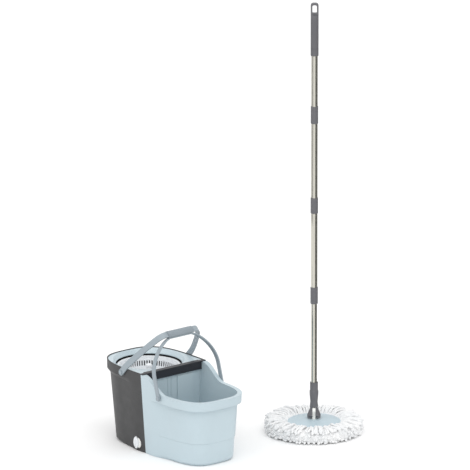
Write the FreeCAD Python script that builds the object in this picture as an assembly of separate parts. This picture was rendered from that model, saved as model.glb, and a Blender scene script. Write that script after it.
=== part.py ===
import FreeCAD, Part
import math
import os

from FreeCAD import Placement, Rotation, Vector

# A spin-mop set, in millimetres. +Z is up. The origin is on the floor, under the crossbar
# that divides the bucket. +X runs to the wash tub's round end, -X to the spin side.

# ---- bucket: overall ----
seam_draft = 0.078           # how much that half-width grows per millimetre of height
wall = 2.5                   # moulded wall thickness
partition = 3.0              # each of the two walls under the crossbar
floor_gap = 4.0              # how far the floors stand clear of the ground
blend_near = 28.0            # the side walls are full width this far from the seam
blend_far = 112.0            # and follow the narrower body from here on
outline_points = 56

# ---- wash tub ----
tub_centre = 61.3
tub_half_length = 179.3      # at the rim
tub_half_width = 116.2
seam_narrow = 15.6
seam_half_floor = tub_half_width - seam_narrow   # half-width at the seam, on the floor
tub_power = 3.4
tub_rim_z = 200.0
tub_band = 27.0              # height of the rim band
tub_band_out = 10.0          # how far the band stands out from the body
tub_draft = 0.058
tub_step_z = 69.0
tub_step = 1.5
wing_crest_x = 12.0          # the top edge is level from the crossbar to here
wing_foot_x = 104.0          # and level again, along the rim, from here on
wing_ease = 30.0             # how softly it leaves both
band_start_x = 74.0          # the rim band is hollow from here on
panel_low_y = 15.0           # the raised panel on the partition, off centre
panel_high_y = 73.0
panel_proud = 3.0
rib_ys = (-72.0, -60.0, -20.0, -8.0)

# ---- spin-side housing ----
housing_centre = -40.0
housing_half_length = 182.8
housing_wider = 3.4          # how far its long sides stand outside the tub's
housing_half_width = tub_half_width + housing_wider
housing_power = 3.2
housing_top_z = 246.6
wing_top_z = housing_top_z - 2.6
housing_band = 28.0
housing_band_out = 8.0
housing_draft = 0.088        # slope of the round end
housing_side_draft = 0.068   # and of the long sides
housing_chamfer = 12.0       # height of the slope from the band back to the body
housing_band_lean = 0.6
base_round = 6.0             # how far both bodies tuck in at the floor
base_round_z = 8.0

# ---- crossbar ----
crossbar_height = 24.6
crossbar_low_z = housing_top_z - crossbar_height
crossbar_front = 9.0         # thickness reach on the wash side
crossbar_back = 8.0          # and on the spin side
crossbar_end_gap = 1.0       # clear of the tub's side walls
slot_roof = 9.6              # from the crossbar's top down to the two walls' top edges
wall_top_z = housing_top_z - slot_roof
fit_gap = 0.3                # clearance between pieces that slip together
screw_r = 1.75
screw_head_r = 3.6

# ---- basket and its spindle ----
basket_x = -110.0
basket_rim_r = 94.0
basket_flare = 14.0          # how much wider its rim is than its foot
basket_foot_r = basket_rim_r - basket_flare
basket_sunk = 19.6           # its rim lies this far under the housing's rim
basket_rim_z = housing_top_z - basket_sunk
basket_depth = 69.0
basket_floor_z = basket_rim_z - basket_depth
basket_wall = 2.2
slot_count = 72
slot_width = 3.6
slot_height = 15.0
slot_rows = (28.0, 57.0)     # each row's lower edge, below the rim
hole_rings = ((38.0, 12), (26.0, 18), (14.0, 24))   # in from the foot's edge, and how many
hole_r = 2.6
hub_top_z = basket_rim_z - 1.0
hub_top_r = 10.0
hub_foot_r = 32.0
spindle_r = 4.0
running_gap = 0.05
post_top_z = basket_floor_z - 10.0
tray_edge = 2.5
tray_gap = 3.5               # open ring between the basket and the tray
tray_hole_r = basket_rim_r + tray_gap
tray_dish_r = tray_hole_r + 8.5
tray_hole_z = basket_rim_z + 7.0   # top of the dish's inner edge
tray_notches = ((-149.0, -100.0), (-133.0, -106.0))
tray_notch_r = 4.0

stud_z = 114.0
stud_r = 4.0
stud_long_share = 0.771      # its root's place, as shares of the housing's half sizes
stud_wide_share = 0.351

# ---- drain ----
drain_x = -36.0
drain_z = 22.0
drain_bore_r = 7.0
drain_flange_r = 10.5
leaf_tail = 22.0             # height of the plug's pointed tail above its centre
leaf_foot = 14.5
leaf_half = 10.5
leaf_shift = 8.0             # how far the sleeve's own leaf stands aside

# ---- carry bail ----
carry_x = -87.0
carry_z = housing_top_z - 14.6
carry_reach = 178.0
carry_lean = 46.5            # degrees above level, leaning to the wash side
carry_thick = 4.5
carry_broad = 18.0
carry_straight = 28.0        # its arms are straight this far from the pivots
carry_knee = 158.0           # and reach the corner here
carry_knee_half = 79.0
carry_top_half = 54.0        # half-length of its straight crosspiece
grip_length = 93.0
grip_high = 17.0
grip_broad = 25.0
grip_drop = 3.0              # the grip's middle lies this far inside the crosspiece

# ---- latch bail ----
latch_x = 84.0
latch_z = tub_rim_z - 10.0
nest_across = 1.1            # its crosspiece rests this far past the carry bail's
nest_under = 12.0            # and this far below it
latch_thick = 4.0
latch_broad = 14.0
latch_straight = 62.0
latch_top_half = 40.0

pivot_r = 4.0
pivot_head_r = 6.5
carry_pivot_gap = 0.8        # between a bail's arm and the wall beside it
latch_pivot_gap = 2.2

# ---- mop: place and pole ----
mop_x = 140.0
mop_y = 424.0
mop_turn = 50.9              # degrees; the tilt pin points this way
mop_top_z = 1310.0
tube_r = 9.8
tube_wall = 0.5
tube_slide = 0.4             # how loosely the inner tube slides in the third
inner_tube_r = tube_r - tube_wall - tube_slide
pole_grip_length = 159.0
grip_low_z = mop_top_z - pole_grip_length
pole_grip_r = tube_r + 2.0
grip_socket = 95.0           # how far the first tube reaches into the grip
hang_hole_width = 13.0
hang_hole_height = 24.4
loop_bar = 5.6               # the loop's thickness above and below the hole
loop_corner = 8.0
loop_half_thick = 6.5
grip_cuff = 20.0
grip_flute_count = 18
collar_edge = 1.2
collar_r = tube_r + 1.3
collar_z = (944.0, 670.0, 393.0)
collar_height = (53.0, 48.0, 51.0)
stud_thread_r = inner_tube_r - 2.9

# ---- mop: plunge drive ----
twist_pitch = 60.0           # one turn of the head for this much plunge
strip_width = 7.0
strip_thick = 2.4
strip_gap = 0.25
inner_tube_top = 450.0
rod_low_z = inner_tube_top - 26.0
rod_sunk = 16.0              # how far the strip's top is held inside its plug
rod_hole_r = 1.25
dog_count = 8

# ---- mop: yoke and head ----
yoke_top_z = 151.0
pin_z = 64.0
pin_r = 2.5
cam_r = 21.5
tongue_width = 9.0
tongue_r = 13.5
tongue_waist = 12.5          # half its depth below the pin
tongue_swing_gap = 3.0       # what its top clears in the fork
disc_r = 80.0
disc_top_z = 40.0
disc_rim_z = 31.0
disc_thick = 3.0
ring_in_r = 56.0
ring_out_r = 70.0
fringe_r = 147.5
fringe_top_z = 44.0

Z = Vector(0, 0, 1)
FAR = 600.0


# ---------- small helpers ----------

def box(x0, x1, y0, y1, z0, z1):
    return Part.makeBox(x1 - x0, y1 - y0, z1 - z0, Vector(x0, y0, z0))


def rod(r, z0, z1, x=0.0, y=0.0):
    return Part.makeCylinder(r, z1 - z0, Vector(x, y, z0), Z)


def tube(r_out, r_in, z0, z1, x=0.0, y=0.0):
    return rod(r_out, z0, z1, x, y).cut(rod(r_in, z0 - 1, z1 + 1, x, y))


def lathe(points, x=0.0, y=0.0):
    """Turn an outline of (radius, height) points about the upright axis."""
    wire = Part.makePolygon([Vector(r, 0, z) for r, z in points + points[:1]])
    solid = Part.Face(wire).revolve(Vector(), Z, 360)
    solid.translate(Vector(x, y, 0))
    return solid


def along_y(r, x, z, y0, y1):
    return Part.makeCylinder(r, y1 - y0, Vector(x, y0, z), Vector(0, 1, 0))


def export(name, *shapes):
    solids = [solid for shape in shapes for solid in shape.Solids]
    for solid in solids:
        if not solid.isValid() or solid.Volume <= 0:
            print("not valid:", name)
    shape = solids[0] if len(solids) == 1 else Part.makeCompound(solids)
    shape.exportStep("parts/%s.step" % name)
    print("%-18s %2d solid(s) %10.0f mm3" % (name, len(solids), shape.Volume))


# ---------- the bucket's outlines ----------

def seam_half(z):
    return seam_half_floor + seam_draft * z


def near_seam(x):
    """1 at the seam, easing to 0 out along the body."""
    t = (abs(x) - blend_near) / (blend_far - blend_near)
    t = min(1.0, max(0.0, t))
    return 0.5 + 0.5 * math.cos(math.pi * t)


def outline(centre, a, b, power, z, seam=None):
    """A rounded oblong at height z; seam sets its half-width where it meets the crossbar."""
    side = 1.0 if centre > 0 else -1.0
    at_seam = b * (1 - abs(centre / a) ** power) ** (1 / power)
    points = []
    for i in range(outline_points):
        turn = 2 * math.pi * (i + 0.5) / outline_points
        c, s = math.cos(turn), math.sin(turn)
        reach = (abs(c / a) ** power + abs(s / b) ** power) ** (-1 / power)
        x, y = centre + reach * c, reach * s
        if seam:
            y *= 1 + (seam / at_seam - 1) * near_seam(max(0.0, x * side))
        points.append(Vector(x, y, z))
    curve = Part.BSplineCurve()
    curve.interpolate(points, PeriodicFlag=True)
    return Part.Wire(curve.toShape())


def tub_inset(z):
    """How far the tub's body lies inside its rim outline at height z."""
    step = tub_step if z < tub_step_z else 0.0
    return tub_band_out + tub_draft * (tub_rim_z - z) + step


def tub_ring(z, inset, extra, blended):
    seam = seam_half(z) - extra if blended else None
    a = tub_half_length - inset - extra
    b = tub_half_width - inset - extra
    return outline(tub_centre, a, b, tub_power, z, seam)


def tub_body(extra, low_z, high_z, blended=True):
    """The tub's body without its rim band, drawn in by extra on every side."""
    heights = [low_z, tub_step_z - 1, tub_step_z + 1, high_z]
    rings = [tub_ring(z, tub_inset(z), extra, blended) for z in heights]
    return Part.makeLoft(rings, True, True)


def tub_outside(extra):
    """The tub's whole outside, with its tucked base and its rim band."""
    band_z = tub_rim_z - tub_band
    levels = [
        (0.0, tub_inset(0) + base_round),
        (base_round_z, tub_inset(base_round_z)),
        (tub_step_z - 1, tub_inset(tub_step_z - 1)),
        (tub_step_z + 1, tub_inset(tub_step_z + 1)),
        (band_z - 1, tub_inset(band_z)),
        (band_z + 1, tub_draft * tub_band),
        (tub_rim_z, 0.0),
        (housing_top_z + 4, -tub_draft * (housing_top_z + 4 - tub_rim_z)),
    ]
    rings = [tub_ring(z, inset, extra, True) for z, inset in levels]
    return Part.makeLoft(rings, True, True)


def wing_profile(drop):
    """Everything under the tub's top edge: level at the rim, rising in an S to the crossbar."""
    high, low = wing_top_z - drop, tub_rim_z - drop
    crest = Vector(wing_crest_x, 0, high)
    foot = Vector(wing_foot_x, 0, low)
    rise = Part.BezierCurve()
    rise.setPoles([crest, crest + Vector(wing_ease, 0, 0), foot - Vector(wing_ease, 0, 0), foot])
    corners = [foot, Vector(FAR, 0, low), Vector(FAR, 0, -10), Vector(-FAR, 0, -10),
               Vector(-FAR, 0, high), crest]
    edges = [rise.toShape()]
    edges += [Part.makeLine(p, q) for p, q in zip(corners, corners[1:])]
    face = Part.Face(Part.Wire(edges))
    face.translate(Vector(0, -FAR, 0))
    return face.extrude(Vector(0, 2 * FAR, 0))


def housing_inset(z, draft):
    """How far the housing's side lies inside its rim outline at height z."""
    band_z = housing_top_z - housing_band
    ledge_z = band_z - housing_chamfer
    lean_in = housing_band_lean * (housing_top_z - max(z, band_z)) / housing_band
    if z >= band_z:
        return lean_in
    deepest = housing_band_out + draft * housing_chamfer
    if z >= ledge_z:
        return lean_in + (deepest - lean_in) * (band_z - z) / housing_chamfer
    return housing_band_out + draft * (band_z - z)


def housing_shape(extra, low_z, high_z, tuck=0.0):
    """The housing's side between two heights, drawn in by extra all round."""
    band_z = housing_top_z - housing_band
    turns = [band_z - housing_chamfer, band_z]
    if tuck:
        turns.append(base_round_z)
    heights = [low_z] + sorted(z for z in turns if low_z < z < high_z) + [high_z]
    rings = []
    for z in heights:
        inner = extra + (tuck if z == low_z else 0.0)
        a = housing_half_length - housing_inset(z, housing_draft) - inner
        b = housing_half_width - housing_inset(z, housing_side_draft) - inner
        rings.append(outline(housing_centre, a, b, housing_power, z, seam_half(z) - extra))
    return Part.makeLoft(rings, True, True)


def pivot_holes(x, z, half):
    """The two bail rivets' holes through walls that stand half apart from the middle."""
    right = along_y(pivot_r, x, z, half - 8, half + 20)
    return right.fuse(right.mirror(Vector(), Vector(0, 1, 0)))


# ---------- bucket: shells ----------

def tub():
    """The wash tub: thin walls, a partition, a hollow rim band and hollow cheeks."""
    deck_z = floor_gap + wall
    shell = tub_outside(0).common(box(0, FAR, -FAR, FAR, 0, FAR)).common(wing_profile(0))
    cavity = tub_body(wall, deck_z, FAR / 2, blended=False)
    cavity = cavity.common(box(partition, FAR, -FAR, FAR, 0, FAR))
    shell = shell.cut(cavity)
    inner_wall = tub_body(0, -5, FAR / 2, blended=False)
    skin = tub_outside(wall).common(wing_profile(wall)).cut(inner_wall)
    cheeks = skin.common(box(partition, blend_near + 32, -FAR, FAR, -1, FAR))
    band = skin.common(box(band_start_x, FAR, -FAR, FAR, tub_rim_z - tub_band - 8, FAR))
    shell = shell.cut(cheeks).cut(band)
    recess = tub_body(2 * base_round, -5, floor_gap, blended=False)
    shell = shell.cut(recess.common(box(partition, FAR, -FAR, FAR, -9, FAR)))
    shell = shell.cut(wall_top_cut(0, partition + 1)).fuse(partition_panels())
    for y in crossbar_screw_ys:
        shell = shell.cut(crossbar_screw_hole(y))
    return shell.cut(pivot_holes(latch_x, latch_z, tub_half_width))


def partition_panels():
    """The raised panel and the upright ribs on the wash side of the partition."""
    low = floor_gap + wall - 0.5
    high = crossbar_low_z - 6
    reach = partition - 0.5
    panel = box(reach, partition + panel_proud, panel_low_y, panel_high_y, low, high)
    ribs = [box(reach, partition + 1.2, y, y + 2, low, high) for y in rib_ys]
    return panel.fuse(ribs)


def tub_inner_half(x, z):
    """Half the clear width inside the tub, near the partition."""
    inset = tub_inset(z) + wall
    reach = abs(x - tub_centre) / (tub_half_length - inset)
    return (tub_half_width - inset) * (1 - reach ** tub_power) ** (1 / tub_power)


crossbar_half = tub_inner_half(partition, crossbar_low_z) - crossbar_end_gap
crossbar_screw_ys = [share * crossbar_half for share in (-0.84, -0.29, 0.29, 0.84)]
crossbar_screw_z = (crossbar_low_z + wall_top_z) / 2


def wall_top_cut(x0, x1):
    """Trims a wall under the crossbar to its height, between the side walls."""
    half = crossbar_half + fit_gap
    return box(x0 - 1, x1, -half, half, wall_top_z, FAR)


def crossbar_screw_hole(y):
    return Part.makeCylinder(screw_r, 40, Vector(-20, y, crossbar_screw_z), Vector(1, 0, 0))


# ---------- bucket: the spin side ----------

def housing():
    """The dark spin-side shell, with its ledge for the tray and its drain hole."""
    deck_z = floor_gap + wall
    shell = housing_shape(0, 0, housing_top_z, base_round)
    cavity = housing_shape(wall, deck_z, housing_top_z + 5)
    inside = box(-FAR, -partition, -FAR, FAR, deck_z - 1, FAR)
    shell = shell.common(box(-FAR, 0, -FAR, FAR, 0, FAR)).cut(cavity.common(inside))
    ledge = housing_shape(wall / 2, tray_seat_z - 4, tray_seat_z)
    ledge = ledge.common(box(-FAR, -crossbar_back - 2, -FAR, FAR, 0, FAR))
    ledge = ledge.cut(housing_shape(wall + 5, tray_seat_z - 9, tray_seat_z + 5))
    shell = shell.fuse(ledge)
    recess = housing_shape(2 * base_round, -5, floor_gap)
    shell = shell.cut(recess.common(box(-FAR, -partition, -FAR, FAR, -9, FAR)))
    shell = shell.cut(wall_top_cut(-partition - 1, 1))
    shell = shell.cut(along_y(drain_sleeve_r, drain_x, drain_z, -FAR, 0))
    for y in crossbar_screw_ys:
        shell = shell.cut(crossbar_screw_hole(y))
    for x, y in post_screw_places:
        shell = shell.cut(rod(screw_r, 0, 30, x, y))
    return shell.cut(pivot_holes(carry_x, carry_z, housing_half_width)).cut(stud_shank())


tray_seat_z = housing_top_z - 4.5
drain_sleeve_r = drain_bore_r + 2.0
post_screw_places = [
    (basket_x + 34 * math.cos(math.radians(a)), 34 * math.sin(math.radians(a)))
    for a in (60, 180, 300)
]


def stud_place(shape):
    """Puts a piece made along +X on the near left corner, pointing out of it."""
    x = housing_centre - stud_long_share * housing_half_length
    y = -stud_wide_share * housing_half_width
    shape.Placement = Placement(Vector(x, y, stud_z), Rotation(Z, 218))
    return shape


def stud_shank():
    return stud_place(Part.makeCylinder(stud_r, 26, Vector(), Vector(1, 0, 0)))


def corner_stud(shell):
    """A small press-in stud half way up the near left corner, round-headed."""
    head = stud_place(Part.makeSphere(stud_r + 1.2, Vector(24.5, 0, 0)))
    stud = stud_shank().fuse(head).cut(shell)
    return max(stud.Solids, key=lambda solid: solid.Volume)


def crossbar():
    """The bar that caps both walls, slotted underneath and screwed through them."""
    half = crossbar_half
    bar = box(-crossbar_back, crossbar_front, -half, half, crossbar_low_z, housing_top_z)
    over_wings = seam_half(housing_top_z) - fit_gap
    bar = bar.fuse(box(fit_gap, crossbar_front, -over_wings, over_wings,
                       wing_top_z + fit_gap, housing_top_z))
    slot = box(-partition - fit_gap, partition + fit_gap, -FAR, FAR, 0, wall_top_z + fit_gap)
    bar = bar.cut(slot)
    for y in crossbar_screw_ys:
        start = Vector(-FAR, y, crossbar_screw_z)
        pilot = Part.makeCylinder(screw_r, FAR + 7, start, Vector(1, 0, 0))
        bar = bar.cut(pilot)
    return bar


def crossbar_screws():
    screws = []
    for y in crossbar_screw_ys:
        at = Vector(-crossbar_back - 2.4, y, crossbar_screw_z)
        head = Part.makeCylinder(screw_head_r, 2.4, at, Vector(1, 0, 0))
        shank = Part.makeCylinder(screw_r, crossbar_back + 2.4 + 6, at, Vector(1, 0, 0))
        cross = box(-crossbar_back - 3, -crossbar_back - 1.2, y - 0.5, y + 0.5,
                    crossbar_screw_z - 2.2, crossbar_screw_z + 2.2)
        screws.append(head.fuse(shank).cut(cross))
    return screws


def splash_tray():
    """The dished tray that drops into the housing's rim around the basket."""
    top = tray_seat_z + tray_edge
    keep = box(-FAR, -crossbar_back - fit_gap, -FAR, FAR, 0, FAR)
    edge = housing_shape(wall + fit_gap, tray_seat_z, top).common(keep)
    under = lathe([
        (0, tray_hole_z - wall), (tray_hole_r + wall, tray_hole_z - wall),
        (tray_dish_r + wall, tray_seat_z + wall / 4), (0, tray_seat_z + wall / 4),
    ], basket_x)
    room = housing_shape(wall + 5 + fit_gap, tray_hole_z - 3 * wall, top + 5).common(keep)
    tray = edge.fuse(under.common(room))
    slope = (tray_dish_r - tray_hole_r) / (top - tray_hole_z)
    hollow = lathe([
        (0, tray_hole_z - 2 * wall), (tray_hole_r, tray_hole_z - 2 * wall),
        (tray_hole_r, tray_hole_z), (tray_dish_r + slope, top + 1), (0, top + 1),
    ], basket_x)
    tray = tray.cut(hollow)
    for x, y in tray_notches:
        tray = tray.cut(rod(tray_notch_r, tray_seat_z - 1, top + 1, x, y))
    return tray


def basket():
    """The perforated spinning bowl: curled rim, sloped wall and flat floor."""
    w = basket_wall
    bowl = lathe([
        (26, basket_floor_z), (basket_foot_r - 6, basket_floor_z),
        (basket_foot_r, basket_floor_z + 6), (basket_rim_r - 4, basket_rim_z - w),
        (basket_rim_r, basket_rim_z - w - 2), (basket_rim_r, basket_rim_z),
        (basket_rim_r - 4 - w, basket_rim_z), (basket_foot_r - w, basket_floor_z + 7),
        (basket_foot_r - 7, basket_floor_z + w), (26, basket_floor_z + w),
    ], basket_x)
    slots = []
    for down in slot_rows:
        for i in range(slot_count):
            cutter = Part.makeBox(basket_flare + 2, slot_width, slot_height)
            cutter.translate(Vector(basket_foot_r - 5, -slot_width / 2, basket_rim_z - down))
            cutter.rotate(Vector(), Z, 360.0 * i / slot_count)
            cutter.translate(Vector(basket_x, 0, 0))
            slots.append(cutter)
    for inward, count in hole_rings:
        r = basket_foot_r - inward
        for i in range(count):
            a = 2 * math.pi * i / count
            x, y = basket_x + r * math.cos(a), r * math.sin(a)
            slots.append(rod(hole_r, basket_floor_z - 2, basket_floor_z + 8, x, y))
    return bowl.cut(Part.makeCompound(slots))


bush_low_z = post_top_z + 1.8
bush_high_z = bush_low_z + 30
bush_r = 9.0


def basket_hub():
    """The white centre post that the mop head sits on, fixed through the basket's floor."""
    low = basket_floor_z + basket_wall
    cone = [
        (26, basket_floor_z - 2.5), (30, basket_floor_z - 2.5), (30, basket_floor_z),
        (26, basket_floor_z), (26, low), (hub_foot_r, low), (hub_foot_r, low + wall),
        (26, low + 9), (17, low + 36), (hub_top_r + 1, hub_top_z - 16),
        (hub_top_r, hub_top_z - 8), (hub_top_r - 2.5, hub_top_z - 8),
        (hub_top_r - 1.5, hub_top_z - 17), (14.5, low + 35), (23.5, low + 8),
        (23.5, basket_floor_z - 2.5),
    ]
    shell = lathe(cone, basket_x)
    sleeve = tube(bush_r + 3, bush_r, bush_low_z + 4, bush_high_z + 6, basket_x)
    ribs = []
    for i in range(6):
        rib = box(bush_r + 2, 22.5, -1, 1, bush_low_z + 6, low + 12)
        rib.rotate(Vector(), Z, 60.0 * i)
        rib.translate(Vector(basket_x, 0, 0))
        ribs.append(rib)
    hub = shell.fuse([sleeve] + ribs)
    return hub.cut(rod(bush_r, bush_low_z - 1, bush_high_z + 7, basket_x))


def hub_cap():
    """A domed cap pushed into the hub's open top."""
    r = hub_top_r
    stem = rod(r - 2.5, hub_top_z - 12, hub_top_z - 8, basket_x)
    dome = Part.makeSphere(r * 1.25, Vector(basket_x, 0, hub_top_z - r * 0.75))
    dome = dome.common(rod(r, hub_top_z - 8, FAR, basket_x))
    return dome.fuse(stem)


def basket_bush():
    flange = tube(bush_r + 2, spindle_r + running_gap, bush_low_z, bush_low_z + 2, basket_x)
    flange = flange.cut(tube(FAR, bush_r, bush_low_z + 2, FAR, basket_x))
    body = tube(bush_r, spindle_r + running_gap, bush_low_z, bush_high_z, basket_x)
    return body.fuse(flange)


spindle_top_z = bush_high_z + 8.0
clip_z = bush_high_z + 2.0


def spindle():
    shaft = rod(spindle_r, post_top_z - 50, spindle_top_z, basket_x)
    groove = tube(spindle_r + 1, spindle_r - 0.8, clip_z, clip_z + 1.2, basket_x)
    return shaft.cut(groove)


def spindle_clip():
    ring = tube(spindle_r + 2.2, spindle_r - 0.8, clip_z, clip_z + 1.2, basket_x)
    return ring.cut(box(basket_x, basket_x + 20, -2, 2, clip_z - 1, clip_z + 3))


def thrust_washer():
    return tube(bush_r, spindle_r + running_gap, post_top_z, post_top_z + 1.5, basket_x)


def spindle_post():
    """The tapered post on the housing's floor that holds the spindle."""
    deck = floor_gap + wall
    post = lathe([
        (0, deck), (40, deck), (40, deck + 3), (24, deck + 5), (11, post_top_z - 20),
        (9, post_top_z), (0, post_top_z),
    ], basket_x)
    hollow = lathe([
        (0, deck - 1), (19, deck - 1), (19, deck + 10), (7, post_top_z - 54),
        (0, post_top_z - 54),
    ], basket_x)
    post = post.cut(hollow).cut(rod(spindle_r, post_top_z - 50, FAR, basket_x))
    for x, y in post_screw_places:
        post = post.cut(rod(screw_r, 0, 30, x, y))
        post = post.cut(rod(screw_head_r, deck + 3, 30, x, y))
    return post


def post_screws():
    deck = floor_gap + wall
    screws = []
    for x, y in post_screw_places:
        shank = rod(screw_r, floor_gap, deck + 3, x, y)
        head = rod(screw_head_r, deck + 3, deck + 5, x, y)
        cross = box(x - 0.5, x + 0.5, y - 2.2, y + 2.2, deck + 4, deck + 6)
        screws.append(shank.fuse(head).cut(cross))
    return screws


# ---------- bucket: the drain ----------

drain_wall_y = -seam_half(drain_z)


def leaf(shift, share, y0, y1):
    """A pointed leaf-shaped plate against the near wall, tail up."""
    x, z = drain_x + shift, drain_z
    tail = Vector(x - 2, y0, z + leaf_tail * share)
    foot = Vector(x + 1, y0, z - leaf_foot * share)
    left = Vector(x - leaf_half * share, y0, z + 1)
    right = Vector(x + leaf_half * share, y0, z - 1)
    edges = [Part.Arc(tail, left, foot).toShape(), Part.Arc(foot, right, tail).toShape()]
    return Part.Face(Part.Wire(edges)).extrude(Vector(0, y1 - y0, 0))


def drain_sleeve(shell):
    """The white flanged sleeve through the housing's near wall."""
    face = drain_wall_y - 2.5
    back = drain_wall_y + 1.5
    flange = along_y(drain_flange_r, drain_x, drain_z, face, back)
    neck = along_y(drain_sleeve_r, drain_x, drain_z, face, drain_wall_y + 14)
    body = flange.fuse([leaf(leaf_shift, 0.84, face, back), neck])
    body = body.cut(along_y(drain_bore_r, drain_x, drain_z, -FAR, FAR)).cut(shell)
    return max(body.Solids, key=lambda solid: solid.Volume)


def drain_plug():
    """The pull-out plug: a leaf-shaped face with its tail up, a thumb rib and a grooved stem."""
    y0 = drain_wall_y - 7.5
    y1 = drain_wall_y - 2.7
    stem = along_y(drain_bore_r - 1.0, drain_x, drain_z, y1 - 0.5, drain_wall_y + 12)
    rib = box(drain_x - 2.2, drain_x + 0.4, y0 - 2.5, y0 + 1, drain_z - 8, drain_z + 12)
    body = leaf(0, 1.0, y0, y1).fuse([stem, rib])
    return body.cut(drain_seal())


def drain_seal():
    """The rubber ring in the stem's groove."""
    ring = along_y(drain_bore_r - 0.35, drain_x, drain_z, drain_wall_y + 5, drain_wall_y + 8)
    return ring.cut(along_y(drain_bore_r - 2.4, drain_x, drain_z, -FAR, FAR))


# ---------- bucket: bails ----------

def along_bezier(poles, steps):
    """Points and directions along a Bezier curve."""
    curve = Part.BezierCurve()
    curve.setPoles(poles)
    return [(curve.value(i / steps), curve.tangent(i / steps)[0]) for i in range(steps + 1)]


def strap(path, reach, half_low, thick, broad):
    """A U-shaped strap lying flat, pivots on the X=0 line, reaching along +X.

    The path runs from the end of its straight arm to its crosspiece, on the +Y side.
    """
    def side(offset):
        bend = [p + Vector(-d.y, d.x, 0) * offset for p, d in path]
        curve = Part.BSplineCurve()
        curve.interpolate(bend, InitialTangent=path[0][1], FinalTangent=path[-1][1])
        other = Part.BSplineCurve()
        flipped = [Vector(p.x, -p.y, 0) for p in bend]
        first, last = path[0][1], path[-1][1]
        other.interpolate(flipped, InitialTangent=Vector(first.x, -first.y, 0),
                          FinalTangent=Vector(last.x, -last.y, 0))
        start = Vector(0, half_low + offset, 0)
        end = Vector(0, -half_low - offset, 0)
        return [Part.makeLine(start, bend[0]), curve.toShape(),
                Part.makeLine(bend[-1], flipped[-1]), other.toShape(),
                Part.makeLine(flipped[0], end)]

    outer, inner = side(thick / 2), side(-thick / 2)
    feet = [Part.makeLine(Vector(0, way * (half_low + thick / 2), 0),
                          Vector(0, way * (half_low - thick / 2), 0)) for way in (-1, 1)]
    wire = Part.Wire(Part.__sortEdges__(outer + inner + feet))
    band = Part.Face(wire).extrude(Vector(0, 0, broad))
    band.translate(Vector(0, 0, -broad / 2))
    for way in (-1, 1):
        y0, y1 = sorted((way * (half_low - thick / 2), way * (half_low + thick / 2)))
        band = band.fuse(along_y(broad / 2 + 0.5, 0, 0, y0, y1))
        band = band.cut(along_y(pivot_r + running_gap, 0, 0, y0 - 9, y1 + 9))
    return band


def lean(shape, x, z, angle):
    """Swings a strap made along +X up to its resting angle about its pivots."""
    shape.Placement = Placement(Vector(x, 0, z), Rotation(Vector(0, 1, 0), -angle))
    return shape


carry_top_x = carry_x + carry_reach * math.cos(math.radians(carry_lean))
carry_top_z = carry_z + carry_reach * math.sin(math.radians(carry_lean))
latch_along = carry_top_x + nest_across - latch_x
latch_up = carry_top_z - nest_under - latch_z
latch_reach = math.hypot(latch_along, latch_up)
latch_lean = math.degrees(math.atan2(latch_up, latch_along))
carry_half = housing_half_width + carry_pivot_gap + carry_thick / 2
latch_half = tub_half_width + latch_pivot_gap + latch_thick / 2


def carry_bail():
    """The wide bail: long slightly bowed arms and tight corners beside the grip."""
    start = Vector(carry_straight, carry_half, 0)
    knee = Vector(carry_knee, carry_knee_half, 0)
    top = Vector(carry_reach, carry_top_half, 0)
    slant = Vector(38, -19, 0)
    arm = along_bezier([start, start + Vector(24, 0, 0), knee - slant, knee], 8)
    corner = along_bezier([knee, knee + slant * 0.36, top + Vector(0, 9, 0), top], 6)
    shape = strap(arm + corner[1:], carry_reach, carry_half, carry_thick, carry_broad)
    return lean(shape, carry_x, carry_z, carry_lean)


def latch_bail():
    """The narrow bail: straight arms that sweep round into its crosspiece."""
    start = Vector(latch_straight, latch_half, 0)
    top = Vector(latch_reach, latch_top_half, 0)
    sweep = latch_reach - latch_straight
    path = along_bezier([start, start + Vector(sweep * 0.58, 0, 0),
                         top + Vector(0, 18, 0), top], 12)
    return lean(strap(path, latch_reach, latch_half, latch_thick, latch_broad),
                latch_x, latch_z, latch_lean)


def latch_sweep():
    """The room that the latch bail's crosspiece needs as it swings."""
    r = math.hypot(latch_reach + latch_thick / 2, latch_broad / 2) + fit_gap + running_gap
    return along_y(r, latch_x, latch_z, -FAR, FAR)


def grip_half(upper):
    """One half of the carry grip, clasping the bail's crosspiece, above the latch bail's."""
    half = grip_length / 2
    middle = carry_reach - grip_drop
    section = Part.Ellipse(Vector(), grip_broad / 2, grip_high / 2).toShape()
    block = Part.Face(Part.Wire(section)).extrude(Vector(0, 0, grip_length))
    block.rotate(Vector(), Vector(1, 0, 0), -90)
    block.rotate(Vector(), Vector(0, 1, 0), 90)
    block.translate(Vector(middle, -half, 0))
    core = box(carry_reach - carry_thick / 2, carry_reach + carry_thick / 2,
               -half - 1, half + 1, -carry_broad / 2, carry_broad / 2)
    side = box(carry_reach, FAR, -FAR, FAR, -FAR, FAR)
    if not upper:
        side = box(-FAR, carry_reach, -FAR, FAR, -FAR, FAR)
    body = lean(block.cut(core).common(side), carry_x, carry_z, carry_lean).cut(latch_sweep())
    return max(body.Solids, key=lambda solid: solid.Volume)


def pivot_pins(x, z, half, thick, wall_in):
    """A pair of shouldered rivets; each head lies outside its arm."""
    pins = []
    for way in (-1, 1):
        inner = wall_in
        outer = half + thick / 2 + fit_gap
        shank = along_y(pivot_r, x, z, *sorted((way * (inner - 2), way * outer)))
        head = along_y(pivot_head_r, x, z, *sorted((way * outer, way * (outer + 2.2))))
        pins.append(shank.fuse(head))
    return pins


# ---------- mop: everything about its own upright axis, then set in place ----------

def stand(shape):
    """Turns a mop piece made about the origin to face forwards and sets it in place."""
    shape = shape.copy()
    shape.rotate(Vector(), Z, mop_turn)
    shape.translate(Vector(mop_x, mop_y, 0))
    return shape


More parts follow.
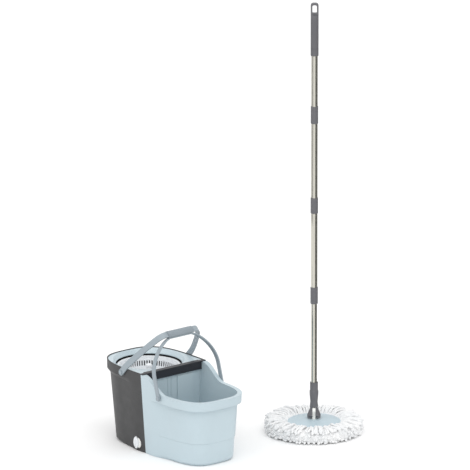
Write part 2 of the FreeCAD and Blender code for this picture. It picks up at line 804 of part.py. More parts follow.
tube_bore = tube_r - tube_wall
inner_bore = inner_tube_r - tube_wall
joint_z = [low + height * 0.55 for low, height in zip(collar_z, collar_height)]
web = 3.0
plug_height = 18.0
rod_top_z = joint_z[1] - web - plug_height + rod_sunk


def rounded_prism(half, low, high, r_low, r_high):
    """An upright plate across X, long in Y, with rounded corners below and above."""
    plate = box(-half, half, -FAR, FAR, low, high)
    keep = box(-half, half, -FAR, FAR, low + r_low, high - r_high)
    for z, r in ((low + r_low, r_low), (high - r_high, r_high)):
        end = box(-half + r, half - r, -FAR, FAR, z - r, z + r)
        for x in (-half + r, half - r):
            end = end.fuse(along_y(r, x, z, -FAR, FAR))
        keep = keep.fuse(end)
    return plate.common(keep)


def pole_grip():
    """The moulded hand grip: a hanging loop on top, a stepped neck and a lower cuff."""
    hang_high = mop_top_z - loop_bar
    hang_low = hang_high - hang_hole_height
    body = rod(pole_grip_r, grip_low_z, mop_top_z)
    loop = rounded_prism(pole_grip_r, grip_low_z - 20, mop_top_z, 5.0, loop_corner)
    body = body.common(loop)
    for way in (-1, 1):
        y0, y1 = sorted((way * loop_half_thick, way * 30))
        body = body.cut(box(-30, 30, y0, y1, hang_low - loop_bar, FAR * 3))
    body = body.cut(rounded_prism(hang_hole_width / 2, hang_low, hang_high, 2.5, 4.0))
    for z in (grip_low_z + grip_cuff, grip_low_z + grip_cuff + 3):
        body = body.cut(tube(pole_grip_r + 2, pole_grip_r - 0.5, z, z + 0.8))
    for i in range(grip_flute_count):
        flute = rod(1.2, grip_low_z + grip_cuff + 12, hang_low - 16, pole_grip_r + 0.75)
        flute.rotate(Vector(), Z, 360.0 * (i + 0.5) / grip_flute_count)
        body = body.cut(flute)
    return body.cut(rod(tube_r, grip_low_z - 1, grip_low_z + grip_socket))


def tube_top_z(number):
    """Where pole tube 1, 2 or 3, counted from the top, ends above."""
    return grip_low_z + grip_socket if number == 1 else joint_z[number - 2] - web


def pole_tube(number):
    low = joint_z[number - 1]
    return tube(tube_r, tube_bore, low, tube_top_z(number))


def collar_blank(low, high):
    """A collar's outside: rounded ends and a shallow ring below the top."""
    r, e = collar_r, collar_edge
    ring_z = low + (high - low) * 0.72
    return lathe([
        (0, low), (r - e, low), (r - 0.3 * e, low + 0.3 * e), (r, low + e), (r, ring_z),
        (r - 0.5, ring_z + 0.4), (r - 0.5, ring_z + 1.2), (r, ring_z + 1.6), (r, high - e),
        (r - 0.3 * e, high - 0.3 * e), (r - e, high), (0, high),
    ])


def collar(number):
    """A screw coupling between two pole tubes."""
    low = collar_z[number - 1]
    at = joint_z[number - 1]
    body = collar_blank(low, low + collar_height[number - 1])
    body = body.cut(rod(tube_r, at, FAR * 3)).cut(rod(tube_r, 0, at - web))
    return body.cut(rod(stud_thread_r, 0, FAR * 3))


def stud(number):
    """The threaded plug in the top of a pole tube that screws into its collar."""
    at = joint_z[number - 1]
    plug = rod(tube_bore, at - web - plug_height, at - web)
    thread = rod(stud_thread_r, at - web, at + 14)
    for i in range(5):
        z = at + 1 + i * 2.4
        thread = thread.cut(tube(stud_thread_r + 1, stud_thread_r - 0.6, z, z + 1.0))
    body = plug.fuse(thread)
    if number == 2:
        body = body.cut(twisted_strip(0, rod_top_z - rod_sunk - 1, rod_top_z))
        body = body.cut(along_y(rod_hole_r, 0, rod_top_z - rod_sunk / 2, -20, 20))
    return body


def gland():
    """The lowest collar: fixed to the third tube, sliding over the inner tube."""
    low, high = collar_z[2], collar_z[2] + collar_height[2]
    body = collar_blank(low, high).cut(rod(tube_r, joint_z[2], FAR))
    body = body.cut(rod(gland_bush_r, low + 2, joint_z[2]))
    return body.cut(rod(inner_tube_r + tube_slide, 0, FAR))


gland_bush_r = tube_r + 0.4


def gland_bush():
    r = inner_tube_r + running_gap
    return tube(gland_bush_r, r, collar_z[2] + 2, joint_z[2])


def inner_tube():
    return tube(inner_tube_r, inner_bore, yoke_top_z - 30, inner_tube_top)


def twisted_strip(grow, low, high):
    """A flat strip twisted about the upright axis, in phase with height zero."""
    wide, thick = strip_width + 2 * grow, strip_thick + 2 * grow
    rings = []
    steps = max(2, int(round((high - low) / twist_pitch * 24)))
    for i in range(steps + 1):
        z = low + (high - low) * i / steps
        turn = 2 * math.pi * z / twist_pitch
        corners = []
        for sx, sy in ((-1, -1), (1, -1), (1, 1), (-1, 1)):
            x, y = sx * wide / 2, sy * thick / 2
            c, s = math.cos(turn), math.sin(turn)
            corners.append(Vector(x * c - y * s, x * s + y * c, z))
        rings.append(Part.makePolygon(corners + corners[:1]))
    return Part.makeLoft(rings, True, True)


def twist_rod():
    strip = twisted_strip(0, rod_low_z, rod_top_z)
    return strip.cut(along_y(rod_hole_r, 0, rod_top_z - rod_sunk / 2, -20, 20))


def rod_pin():
    half = tube_bore - 0.5
    return along_y(rod_hole_r, 0, rod_top_z - rod_sunk / 2, -half, half)


nut_web_z = inner_tube_top - 20
nut_top_z = inner_tube_top + 17


def dogs(gap):
    """The clutch's radial teeth."""
    teeth = []
    for i in range(dog_count):
        tooth = box(0, 20, -1.4 - gap, 1.4 + gap, nut_web_z - 7, nut_web_z - 2 + gap)
        tooth.rotate(Vector(), Z, 360.0 * i / dog_count)
        teeth.append(tooth)
    return teeth[0].fuse(teeth[1:])


def drive_nut():
    """The nut that the twisted strip turns: a slotted web, a stem and clutch teeth."""
    body = rod(inner_bore - fit_gap, nut_web_z - 6, inner_tube_top - 2)
    body = body.fuse(rod(stud_thread_r, inner_tube_top - 2, nut_top_z))
    body = body.cut(rod(4.3, nut_web_z + 3, FAR)).cut(rod(4.3, 0, nut_web_z))
    body = body.cut(tube(stud_thread_r + 1, stud_thread_r - 0.6, nut_top_z - 3, nut_top_z - 2))
    body = body.cut(dogs(0.2))
    return body.cut(twisted_strip(strip_gap, nut_web_z - 4, nut_web_z + 8))


def clutch_ring():
    """The toothed ring fixed in the inner tube, under the nut."""
    ring = tube(inner_bore, 4.6, nut_web_z - 14, nut_web_z - 6.2)
    teeth = dogs(0).common(tube(inner_bore, 4.6, nut_web_z - 7, nut_web_z - 2.2))
    return ring.fuse(teeth)


def retaining_ring():
    """Keeps the nut down in the tube."""
    return tube(inner_bore, stud_thread_r + 0.1, inner_tube_top - 1.8, inner_tube_top)


def slider_bush():
    """The bush that rides on the nut's stem and slides inside the third tube."""
    return tube(tube_bore - running_gap, stud_thread_r + running_gap,
                inner_tube_top + 0.3, nut_top_z - 3.2)


def bush_clip():
    z = nut_top_z - 3
    ring = tube(stud_thread_r + 2.0, stud_thread_r - 0.6, z, z + 1)
    return ring.cut(box(0, 20, -2.4, 2.4, z - 1, z + 3))


# ---------- mop: yoke and head ----------

def yoke():
    """The forked socket at the pole's foot, flared into two rounded cheeks."""
    neck = lathe([
        (0, pin_z - cam_r), (19.5, pin_z - cam_r), (20.2, pin_z - 13), (15.5, pin_z - 2),
        (11.6, pin_z + 8), (12.3, pin_z + 14), (11.0, pin_z + 28), (13.2, pin_z + 52),
        (13.2, pin_z + 60), (11.9, pin_z + 64), (11.9, yoke_top_z), (0, yoke_top_z),
    ])
    cam = Part.makeCylinder(cam_r, 60, Vector(-30, 0, pin_z), Vector(1, 0, 0))
    above = box(-30, 30, -13, 13, pin_z, FAR)
    body = neck.common(cam.fuse(above))
    half = tongue_width / 2 + fit_gap
    slot = box(-half, half, -40, 40, 0, pin_z)
    slot = slot.fuse(Part.makeCylinder(tongue_r + tongue_swing_gap, 2 * half,
                                       Vector(-half, 0, pin_z), Vector(1, 0, 0)))
    slot = slot.fuse(box(-half, half, -40, 40, pin_z - 1, pin_z + 6))
    body = body.cut(slot)
    body = body.cut(rod(inner_tube_r, yoke_top_z - 30, FAR))
    return body.cut(Part.makeCylinder(pin_r, 60, Vector(-30, 0, pin_z), Vector(1, 0, 0)))


def tilt_pin():
    return Part.makeCylinder(pin_r, 30, Vector(-15, 0, pin_z), Vector(1, 0, 0))


def plate_hub():
    """The white tongue in the fork, with the round foot that snaps into the disc."""
    half = tongue_width / 2
    body = Part.makeCylinder(tongue_r, tongue_width, Vector(-half, 0, pin_z), Vector(1, 0, 0))
    body = body.fuse(box(-half, half, -tongue_waist, tongue_waist, disc_top_z - 8, pin_z))
    body = body.fuse(rod(18, disc_top_z - disc_thick - 3, disc_top_z - disc_thick))
    hole = Part.makeCylinder(pin_r + running_gap, 40, Vector(-20, 0, pin_z), Vector(1, 0, 0))
    return body.cut(hole)


def disc():
    """The shallow domed plate that carries the fringe."""
    t = disc_thick
    plate = lathe([
        (0, disc_top_z - t), (26, disc_top_z - t), (disc_r - 8, disc_rim_z - t + 1.5),
        (disc_r - t, disc_rim_z - 8), (disc_r, disc_rim_z - 8), (disc_r, disc_rim_z - 1),
        (disc_r - 2, disc_rim_z + 0.6), (26, disc_top_z), (0, disc_top_z),
    ])
    half = tongue_width / 2
    return plate.cut(box(-half, half, -tongue_waist, tongue_waist, 0, FAR))


def refill_ring():
    """The clip ring that holds the fringe under the disc."""
    high = disc_rim_z - 5
    return tube(ring_out_r, ring_in_r, 17, high).fuse(tube(ring_out_r, ring_in_r - 8, 17, 19.5))


def fringe():
    """The soft mop head as one plain body, hollow under the plate."""
    section = [
        (30, 0), (136, 0), (144, 6), (fringe_r, 16), (143, 32), (130, fringe_top_z - 1),
        (112, fringe_top_z), (disc_r + 6, fringe_top_z - 8), (disc_r + 3.5, 20), (76, 16.6),
        (30, 16.6),
    ]
    return lathe(section)


def build():
    os.makedirs("parts", exist_ok=True)
    shell = housing()
    export("tub", tub())
    export("spin_housing", shell)
    export("crossbar", crossbar())
    export("crossbar_screws", *crossbar_screws())
    export("corner_stud", corner_stud(shell))
    export("splash_tray", splash_tray())
    export("basket", basket())
    export("basket_hub", basket_hub())
    export("hub_cap", hub_cap())
    export("basket_bush", basket_bush())
    export("spindle", spindle())
    export("spindle_clip", spindle_clip())
    export("thrust_washer", thrust_washer())
    export("spindle_post", spindle_post())
    export("post_screws", *post_screws())
    export("drain_sleeve", drain_sleeve(shell))
    export("drain_plug", drain_plug())
    export("drain_seal", drain_seal())
    export("carry_bail", carry_bail())
    export("carry_grip_upper", grip_half(True))
    export("carry_grip_lower", grip_half(False))
    export("latch_bail", latch_bail())
    export("carry_pivot_pins", *pivot_pins(carry_x, carry_z, carry_half, carry_thick,
                                           housing_half_width - wall))
    export("latch_pivot_pins", *pivot_pins(latch_x, latch_z, latch_half, latch_thick,
                                           tub_half_width - wall))
    export("pole_grip", stand(pole_grip()))
    for number in (1, 2, 3):
        export("pole_tube_%d" % number, stand(pole_tube(number)))
    for number in (1, 2):
        export("collar_%d" % number, stand(collar(number)))
        export("collar_stud_%d" % number, stand(stud(number)))
    mop_pieces = [gland, gland_bush, inner_tube, twist_rod, rod_pin, drive_nut, clutch_ring,
                  retaining_ring, slider_bush, bush_clip, yoke, tilt_pin, plate_hub, disc,
                  refill_ring, fringe]
    for piece in mop_pieces:
        export(piece.__name__, stand(piece()))


build()
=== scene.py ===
"""Looks of a two-part spin bucket and its plunge mop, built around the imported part."""

import math
import random

import bmesh
import bpy
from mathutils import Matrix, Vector


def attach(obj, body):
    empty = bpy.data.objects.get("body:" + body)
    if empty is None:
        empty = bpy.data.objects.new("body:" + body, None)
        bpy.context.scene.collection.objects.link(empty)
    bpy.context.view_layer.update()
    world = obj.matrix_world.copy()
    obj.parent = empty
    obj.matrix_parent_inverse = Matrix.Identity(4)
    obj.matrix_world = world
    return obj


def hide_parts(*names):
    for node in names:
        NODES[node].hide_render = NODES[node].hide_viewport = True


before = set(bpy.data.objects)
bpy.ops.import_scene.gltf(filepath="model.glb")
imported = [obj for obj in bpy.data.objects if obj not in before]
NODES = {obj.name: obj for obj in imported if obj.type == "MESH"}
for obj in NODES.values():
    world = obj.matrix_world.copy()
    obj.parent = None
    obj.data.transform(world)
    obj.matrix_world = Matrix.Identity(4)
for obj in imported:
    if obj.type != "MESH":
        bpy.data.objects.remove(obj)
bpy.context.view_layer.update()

# Camera: a long lens from the near right corner, as the object is usually shown.
AZIMUTH = math.radians(50.9)
ELEVATION = math.radians(16.2)
AIM = Vector((0.116, 0.143, 0.649))
FRAME_WIDTH = 1.377
LENS = 1000.0
SENSOR = 36.0
EDGE_RADIUS = 0.0012       # how far a moulded edge is rounded and rubbed
GRAIN_DEPTH = 0.00008
FLOOR_SIZE = 40.0
FLOOR_DROP = 0.0006        # the floor lies just under the pieces


def make_camera():
    """A far camera whose lines of sight are nearly parallel."""
    back = Vector((
        math.sin(AZIMUTH) * math.cos(ELEVATION),
        -math.cos(AZIMUTH) * math.cos(ELEVATION),
        math.sin(ELEVATION),
    ))
    data = bpy.data.cameras.new("camera")
    data.type = "PERSP"
    data.sensor_width = SENSOR
    data.lens = LENS
    data.clip_start = 1.0
    data.clip_end = 200.0
    camera = bpy.data.objects.new("camera", data)
    bpy.context.scene.collection.objects.link(camera)
    camera.location = AIM + back * (FRAME_WIDTH * LENS / SENSOR)
    camera.rotation_mode = "QUATERNION"
    camera.rotation_quaternion = (-back).to_track_quat("-Z", "Y")
    bpy.context.scene.camera = camera


make_camera()


# ---------------------------------------------------------------- materials


def linear(colour):
    """sRGB parts from 0 to 255 as linear light, with alpha."""
    parts = []
    for value in colour:
        s = value / 255.0
        parts.append(s / 12.92 if s <= 0.04045 else ((s + 0.055) / 1.055) ** 2.4)
    return (*parts, 1.0)


class Tree:
    """A material's node tree with short ways to add and join nodes."""

    def __init__(self, name):
        self.material = bpy.data.materials.new(name)
        self.material.use_nodes = True
        self.nodes = self.material.node_tree.nodes
        self.links = self.material.node_tree.links
        self.nodes.clear()
        self.output = self.nodes.new("ShaderNodeOutputMaterial")
        self.shader = self.nodes.new("ShaderNodeBsdfPrincipled")
        self.join(self.shader, "BSDF", self.output, "Surface")
        self.place = self.nodes.new("ShaderNodeTexCoord")

    def join(self, a, a_out, b, b_in):
        self.links.new(a.outputs[a_out], b.inputs[b_in])

    def set(self, **values):
        for name, value in values.items():
            self.shader.inputs[name.replace("_", " ")].default_value = value

    def stretched(self, scale):
        """The piece's own coordinates in metres, stretched along its axes."""
        mapping = self.nodes.new("ShaderNodeMapping")
        mapping.inputs["Scale"].default_value = scale
        self.join(self.place, "Object", mapping, "Vector")
        return mapping

    def noise(self, scale, detail=3.0, rough=0.55, source=None):
        """Soft noise with about that many features to the metre."""
        node = self.nodes.new("ShaderNodeTexNoise")
        node.inputs["Scale"].default_value = scale
        node.inputs["Detail"].default_value = detail
        node.inputs["Roughness"].default_value = rough
        if source is None:
            self.join(self.place, "Object", node, "Vector")
        else:
            self.join(source, "Vector", node, "Vector")
        return node

    def ramp(self, source, socket, stops):
        """Colours along a value."""
        node = self.nodes.new("ShaderNodeValToRGB")
        points = node.color_ramp.elements
        while len(points) < len(stops):
            points.new(0.5)
        for point, (at, colour) in zip(points, stops):
            point.position = at
            point.color = colour
        self.join(source, socket, node, "Fac")
        return node

    def span(self, source, socket, low, high, start=0.3, end=0.7):
        """A value carried from start..end to low..high."""
        node = self.nodes.new("ShaderNodeMapRange")
        node.inputs["From Min"].default_value = start
        node.inputs["From Max"].default_value = end
        node.inputs["To Min"].default_value = low
        node.inputs["To Max"].default_value = high
        self.join(source, socket, node, "Value")
        return node

    def bump(self, source, socket, strength, distance, under=None):
        node = self.nodes.new("ShaderNodeBump")
        node.inputs["Strength"].default_value = strength
        node.inputs["Distance"].default_value = distance
        self.join(source, socket, node, "Height")
        if under is not None:
            self.join(under, "Normal", node, "Normal")
        return node

    def mix(self, factor, socket, a, b):
        """Colour a where the factor is 0 and colour b where it is 1."""
        node = self.nodes.new("ShaderNodeMix")
        node.data_type = "RGBA"
        self.join(factor, socket, node, "Factor")
        for index, value in ((6, a), (7, b)):
            if isinstance(value, tuple):
                node.inputs[index].default_value = value
            else:
                self.links.new(value.outputs[0 if value.type == "VALTORGB" else 2], node.inputs[index])
        return node


def shade(colour, factor):
    """The colour made lighter or darker."""
    return tuple(min(1.0, c * factor) for c in colour[:3]) + (1.0,)


def worn_edges(tree, bevel, base, light, amount):
    """Edges rubbed a little lighter: the normal there turns within the bevel's radius."""
    own = tree.nodes.new("ShaderNodeNewGeometry")
    dot = tree.nodes.new("ShaderNodeVectorMath")
    dot.operation = "DOT_PRODUCT"
    tree.join(bevel, "Normal", dot, 0)
    tree.join(own, "Normal", dot, 1)
    edge = tree.span(dot, "Value", amount, 0.0, 0.86, 0.99)
    breakup = tree.noise(160.0, 4.0)
    part = tree.nodes.new("ShaderNodeMath")
    part.operation = "MULTIPLY"
    tree.join(edge, "Result", part, 0)
    tree.join(breakup, "Fac", part, 1)
    return tree.mix(part, "Value", base, light)


def plastic(name, colour, rough, spread, grain, depth, mottle=0.02, edge=0.3, coat=0.0):
    """Moulded plastic: cloudy colour, uneven gloss, a fine spark-eroded grain and rubbed edges."""
    tree = Tree(name)
    base = linear(colour)
    cloud = tree.noise(9.0, 3.0)
    low, high = shade(base, 1 - mottle), shade(base, 1 + mottle)
    colours = tree.ramp(cloud, "Fac", [(0.3, low), (0.7, high)])
    bevel = tree.nodes.new("ShaderNodeBevel")
    bevel.samples = 6
    bevel.inputs["Radius"].default_value = EDGE_RADIUS
    worn = worn_edges(tree, bevel, colours, shade(base, 1.3), edge)
    tree.links.new(worn.outputs[2], tree.shader.inputs["Base Color"])
    gloss = tree.noise(45.0, 4.0)
    uneven = tree.span(gloss, "Fac", rough - spread, rough + spread)
    tree.join(uneven, "Result", tree.shader, "Roughness")
    fine = tree.noise(grain, 2.0)
    tree.join(tree.bump(fine, "Fac", depth, GRAIN_DEPTH, bevel), "Normal", tree.shader, "Normal")
    tree.set(IOR=1.49, Coat_Weight=coat, Coat_Roughness=0.12)
    return tree.material


def steel(name, colour, rough, lengthwise):
    """Drawn steel: fine lines along the length or round a turned part."""
    tree = Tree(name)
    base = linear(colour)
    scale = (1400.0, 1400.0, 6.0) if lengthwise else (240.0, 240.0, 2600.0)
    lines = tree.noise(1.0, 4.0, 0.6, tree.stretched(scale))
    colours = tree.ramp(lines, "Fac", [(0.3, shade(base, 0.9)), (0.7, shade(base, 1.08))])
    tree.join(colours, "Color", tree.shader, "Base Color")
    smudge = tree.noise(30.0, 4.0)
    tree.join(tree.span(smudge, "Fac", rough * 0.8, rough * 1.25), "Result", tree.shader, "Roughness")
    tree.join(tree.bump(lines, "Fac", 0.18, 0.0001), "Normal", tree.shader, "Normal")
    tree.set(Metallic=1.0, Anisotropic=0.5)
    return tree.material


def rubber(name, colour):
    """Soft rubber: matt, dusty and finely pored."""
    tree = Tree(name)
    base = linear(colour)
    dust = tree.noise(70.0, 5.0)
    colours = tree.ramp(dust, "Fac", [(0.35, base), (0.75, shade(base, 1.5))])
    tree.join(colours, "Color", tree.shader, "Base Color")
    tree.join(tree.span(dust, "Fac", 0.6, 0.8), "Result", tree.shader, "Roughness")
    pores = tree.noise(1800.0, 2.0)
    tree.join(tree.bump(pores, "Fac", 0.3, 0.0001), "Normal", tree.shader, "Normal")
    return tree.material


def microfibre(name):
    """White chenille with painted shade: faint grey between tufts, and painted light where the tufts
    stand up.
    """
    tree = Tree(name)
    tufts = tree.noise(520.0, 4.0, 0.65)
    patches = tree.noise(24.0, 3.0)
    # painted shade and light: greyer where the tuft bump is low, lighter where it stands up
    pile_painted_shade = tree.ramp(tufts, "Fac", [(0.3, linear((230, 231, 232))), (0.6, linear((241, 241, 241)))])
    tint = tree.ramp(patches, "Fac", [(0.35, linear((249, 250, 251))), (0.65, linear((255, 255, 255)))])
    both = tree.nodes.new("ShaderNodeMix")
    both.data_type = "RGBA"
    both.blend_type = "MULTIPLY"
    both.inputs["Factor"].default_value = 1.0
    tree.links.new(pile_painted_shade.outputs["Color"], both.inputs[6])
    tree.links.new(tint.outputs["Color"], both.inputs[7])
    tree.links.new(both.outputs[2], tree.shader.inputs["Base Color"])
    tree.join(tree.bump(tufts, "Fac", 0.35, 0.0006), "Normal", tree.shader, "Normal")
    tree.set(Roughness=0.95, Sheen_Weight=0.6, Sheen_Roughness=0.5, Specular_IOR_Level=0.2)
    return tree.material


MATERIALS = {
    "shell": plastic("shell", (186, 202, 209), 0.34, 0.04, 900.0, 0.10, coat=0.1),
    "housing": plastic("housing", (57, 57, 58), 0.5, 0.05, 1500.0, 0.3, mottle=0.05),
    "crossbar": plastic("crossbar", (36, 38, 45), 0.42, 0.05, 1500.0, 0.3, mottle=0.06, edge=0.2),
    "tray": plastic("tray", (188, 203, 210), 0.3, 0.04, 900.0, 0.08, coat=0.15),
    "white": plastic("white", (232, 235, 238), 0.3, 0.05, 1000.0, 0.08, coat=0.1),
    "strap": plastic("strap", (150, 161, 168), 0.45, 0.05, 1300.0, 0.25),
    "bail_grip": plastic("bail_grip", (136, 146, 153), 0.52, 0.06, 1100.0, 0.4, mottle=0.04),
    "dark": plastic("dark", (100, 100, 104), 0.5, 0.06, 1500.0, 0.35, mottle=0.05),
    "black": plastic("black", (38, 40, 42), 0.5, 0.06, 1500.0, 0.3),
    "acetal": plastic("acetal", (244, 244, 240), 0.36, 0.04, 1400.0, 0.12),
    "disc": plastic("disc", (179, 196, 204), 0.4, 0.06, 500.0, 0.5, mottle=0.05),
    "tube": steel("tube", (203, 201, 191), 0.14, True),
    "steel": steel("steel", (185, 186, 188), 0.3, False),
    "rubber": rubber("rubber", (46, 46, 47)),
    "microfibre": microfibre("microfibre"),
}

FINISH = {
    "shell": ["tub"],
    "housing": ["spin_housing"],
    "crossbar": ["crossbar"],
    "tray": ["splash_tray"],
    "white": ["basket", "basket_hub", "hub_cap", "drain_plug", "refill_ring"],
    "strap": ["carry_bail", "latch_bail", "carry_pivot_pins", "latch_pivot_pins"],
    "bail_grip": ["carry_grip_upper", "carry_grip_lower"],
    "dark": ["pole_grip", "collar_1", "collar_2", "gland", "yoke"],
    "black": ["corner_stud", "spindle_post"],
    "acetal": ["thrust_washer", "basket_bush", "gland_bush", "slider_bush", "drain_sleeve",
               "collar_stud_1", "collar_stud_2", "clutch_ring", "drive_nut", "plate_hub"],
    "disc": ["disc"],
    "tube": ["pole_tube_1", "pole_tube_2", "pole_tube_3", "inner_tube"],
    "steel": ["crossbar_screws", "spindle", "spindle_clip", "post_screws", "twist_rod",
              "rod_pin", "tilt_pin", "retaining_ring", "bush_clip"],
    "rubber": ["drain_seal"],
}


def dress(obj, material):
    """Makes that material the piece's only one."""
    obj.data.materials.clear()
    obj.data.materials.append(MATERIALS[material])


def finish_nodes():
    """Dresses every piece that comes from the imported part."""
    for material, names in FINISH.items():
        for name in names:
            dress(NODES[name], material)


finish_nodes()


# ---------------------------------------------------------------- fringe

MOP_CENTRE = Vector((0.140, 0.424, 0.0))

LAYER_COUNT = 8
STRANDS = 84               # in each layer
RING_R = 0.068             # where the strands leave the clip ring
RING_LOW, RING_HIGH = 0.007, 0.0255
TIP_LOW, TIP_HIGH = 0.004, 0.0405   # and how high they end
REACH, SPREAD, OUTER = 0.1425, 0.0065, 0.1515   # how far out they end
STRAND_R = 0.0038
STEPS = 32                 # points along a strand
SIDES = 8
PLY_LOBES = 0.12           # how much the two plies stand out
TIP_START = 0.93           # the share of a strand's length where its tip rounds off
DROOP_START = 0.72         # and where it starts to droop
LOWEST = 0.0008


def tube_mesh(path, radii, sides, twist, lobes, verts, faces):
    """Adds a closed tube of two plies round a path."""
    base = len(verts)
    count = len(path)
    for i, (point, radius) in enumerate(zip(path, radii)):
        ahead = path[min(i + 1, count - 1)] - path[max(i - 1, 0)]
        ahead.normalize()
        side = ahead.cross(Vector((0, 0, 1)))
        side.normalize()
        up = side.cross(ahead)
        turn = twist * i
        for k in range(sides):
            a = math.tau * k / sides
            r = radius * (1 + lobes * math.cos(2 * (a - turn)))
            verts.append(point + side * (r * math.cos(a)) + up * (r * math.sin(a)))
    for i in range(count - 1):
        for k in range(sides):
            a = base + i * sides + k
            b = base + i * sides + (k + 1) % sides
            faces.append((a, b, b + sides, a + sides))
    faces.append(tuple(base + k for k in reversed(range(sides))))
    last = base + (count - 1) * sides
    faces.append(tuple(last + k for k in range(sides)))


def smooth(t):
    """Eases from 0 to 1, and stays there outside."""
    t = max(0.0, min(1.0, t))
    return t * t * (3 - 2 * t)


def strand_path(rng, angle, start, end, bulge, droop):
    """A strand from under the plate outwards: it rises, droops at its tip and wanders sideways."""
    (r0, z0), (r1, z1) = start, end
    wander = rng.uniform(-0.09, 0.09)
    curl = rng.uniform(-0.05, 0.05)
    phase = rng.uniform(0, math.tau)
    ripple = rng.uniform(0.0, 0.0020)
    waves = rng.uniform(1.0, 2.4)
    path = []
    for i in range(STEPS):
        t = i / (STEPS - 1)
        r = r0 + (r1 - r0) * t
        a = angle + wander * t * t + curl * math.sin(math.pi * t)
        a += 0.012 * math.sin(phase + 7 * t) * t
        z = z0 + (z1 - z0) * smooth(t * 2.2) + bulge * math.sin(math.pi * smooth(t))
        z -= droop * max(0.0, (t - DROOP_START) / (1 - DROOP_START)) ** 2
        z += ripple * math.sin(phase + math.tau * waves * t) * t
        path.append(MOP_CENTRE + Vector((r * math.cos(a), r * math.sin(a), z)))
    return path


def cloth_object(name, verts, faces):
    """A microfibre piece that rides the mop head."""
    mesh = bpy.data.meshes.new(name)
    mesh.from_pydata(verts, [], faces)
    mesh.shade_smooth()
    obj = bpy.data.objects.new(name, mesh)
    bpy.context.scene.collection.objects.link(obj)
    dress(obj, "microfibre")
    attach(obj, "mop_head")
    return obj


def build_strands():
    """All the loose strands as one mesh, from the lowest layer up."""
    rng = random.Random(11)
    verts, faces = [], []
    for layer in range(LAYER_COUNT):
        up = layer / (LAYER_COUNT - 1)
        for n in range(STRANDS):
            angle = math.tau * (n + rng.uniform(-0.4, 0.4) + 0.5 * (layer % 2)) / STRANDS
            start = (RING_R + rng.uniform(0, 0.004), RING_LOW + (RING_HIGH - RING_LOW) * up)
            tip = TIP_LOW + (TIP_HIGH - TIP_LOW) * up + rng.uniform(-0.003, 0.003)
            end = (min(OUTER, REACH + rng.uniform(-SPREAD, SPREAD)), tip)
            bulge = rng.uniform(0.0, 0.0028) * up
            droop = rng.uniform(0.0, 0.010) * up
            path = strand_path(rng, angle, start, end, bulge, droop)
            width = STRAND_R * rng.uniform(0.85, 1.12)
            radii = []
            for i in range(STEPS):
                t = i / (STEPS - 1)
                into_tip = max(0.0, (t - TIP_START) / (1 - TIP_START))
                tip_round = math.sqrt(max(0.0, 1 - into_tip ** 2))
                swell = 0.72 + 0.33 * smooth(t * 1.3)
                radii.append(width * swell * max(0.12, tip_round) * rng.uniform(0.93, 1.06))
            for point, radius in zip(path, radii):
                point.z = max(point.z, LOWEST + radius * 1.2)
            tube_mesh(path, radii, SIDES, rng.uniform(0.5, 0.65), PLY_LOBES, verts, faces)
    strands = cloth_object("fringe_strands", verts, faces)
    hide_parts("fringe")


CORE_TURNS = 220


def build_core():
    """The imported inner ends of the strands: a lumpy ring under the loose ones."""
    rng = random.Random(5)
    profile = [(0.062, 0.004), (0.062, 0.016), (0.070, 0.0235), (0.080, 0.0300), (0.090, 0.0345),
               (0.108, 0.0370), (0.124, 0.0360), (0.1350, 0.0315), (0.1400, 0.0230),
               (0.1400, 0.0110), (0.1340, 0.0035), (0.1000, 0.0028)]
    verts, faces = [], []
    rows = len(profile)
    for i in range(CORE_TURNS):
        a = math.tau * i / CORE_TURNS
        lump = 0.0014 * math.sin(a * 37) + rng.uniform(-0.0008, 0.0008)
        for r, z in profile:
            share = smooth((r - 0.07) / 0.05)
            radius = r + lump * share
            height = max(0.002, z + lump * 0.8 * share)
            verts.append(MOP_CENTRE + Vector((radius * math.cos(a), radius * math.sin(a), height)))
    for i in range(CORE_TURNS):
        j = (i + 1) % CORE_TURNS
        for k in range(rows):
            m = (k + 1) % rows
            faces.append((i * rows + k, j * rows + k, j * rows + m, i * rows + m))
    cloth_object("fringe_core", verts, faces)


build_strands()
build_core()


# ---------------------------------------------------------------- stage


def aimed(obj, place, aim):
    """Links a light and points it from its place to its aim."""
    bpy.context.scene.collection.objects.link(obj)
    obj.location = place
    obj.rotation_mode = "QUATERNION"
    obj.rotation_quaternion = (Vector(aim) - Vector(place)).to_track_quat("-Z", "Y")


def sun(name, place, strength, spread):
    """Soft even light from one side; spread is in degrees."""
    data = bpy.data.lights.new(name, "SUN")
    data.energy = strength
    data.angle = math.radians(spread)
    aimed(bpy.data.objects.new(name, data), place, (0, 0, 0))


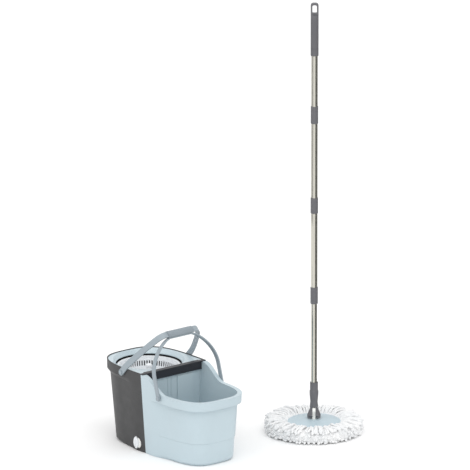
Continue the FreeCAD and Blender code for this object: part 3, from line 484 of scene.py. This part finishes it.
def make_floor():
    """A plain pale floor with the faintest haze."""
    mesh = bpy.data.meshes.new("floor")
    builder = bmesh.new()
    bmesh.ops.create_grid(builder, x_segments=8, y_segments=8, size=FLOOR_SIZE)
    builder.to_mesh(mesh)
    builder.free()
    floor = bpy.data.objects.new("floor", mesh)
    bpy.context.scene.collection.objects.link(floor)
    floor.location.z = -FLOOR_DROP
    tree = Tree("floor")
    haze = tree.noise(3.0, 2.0)
    colours = tree.ramp(haze, "Fac", [(0.3, (0.93, 0.93, 0.93, 1)), (0.7, (0.95, 0.95, 0.95, 1))])
    tree.join(colours, "Color", tree.shader, "Base Color")
    tree.set(Roughness=0.9, Specular_IOR_Level=0.0)
    floor.data.materials.append(tree.material)


def make_flag(name, first, last, radius, low, high, tone):
    """A curved studio screen round the mop, angles clockwise from the camera.

    Only reflections see it.
    """
    steps = 24
    near = math.atan2(-math.cos(AZIMUTH), math.sin(AZIMUTH))
    verts, faces = [], []
    for i in range(steps + 1):
        a = near + math.radians(first + (last - first) * i / steps)
        x, y = MOP_CENTRE.x + radius * math.cos(a), MOP_CENTRE.y + radius * math.sin(a)
        verts += [(x, y, low), (x, y, high)]
    for i in range(steps):
        faces.append((2 * i, 2 * i + 2, 2 * i + 3, 2 * i + 1))
    mesh = bpy.data.meshes.new(name)
    mesh.from_pydata(verts, [], faces)
    flag = bpy.data.objects.new(name, mesh)
    bpy.context.scene.collection.objects.link(flag)
    tree = Tree(name)
    tree.set(Base_Color=(tone, tone, tone, 1), Roughness=1.0, Specular_IOR_Level=0.0)
    flag.data.materials.append(tree.material)
    flag.visible_camera = False
    flag.visible_diffuse = False
    flag.visible_shadow = False
    flag.visible_transmission = False


def make_stage():
    """A plain pale floor and soft light, stronger from above on the camera's left."""
    right = Vector((math.cos(AZIMUTH), math.sin(AZIMUTH), 0))
    near = Vector((math.sin(AZIMUTH), -math.cos(AZIMUTH), 0))
    up = Vector((0, 0, 1))
    make_floor()
    make_flag("flag_right", 28, 136, 0.42, 0.0, 1.4, 0.2)
    make_flag("flag_left", -125, -40, 0.5, 0.5, 1.5, 0.6)
    sun("key", near * 1.2 - right * 1.6 + up * 2.2, 0.4, 45)
    sun("fill", near * 0.8 + right * 0.3 + up * 1.2, 0.75, 40)
    sun("back", -near * 1.4 + right * 0.3 + up * 2.0, 0.15, 60)
    world = bpy.data.worlds.new("studio")
    world.use_nodes = True
    bpy.context.scene.world = world
    background = world.node_tree.nodes["Background"]
    background.inputs["Color"].default_value = (1, 1, 1, 1)
    background.inputs["Strength"].default_value = 0.9
    bpy.context.scene.view_settings.view_transform = "Standard"


make_stage()
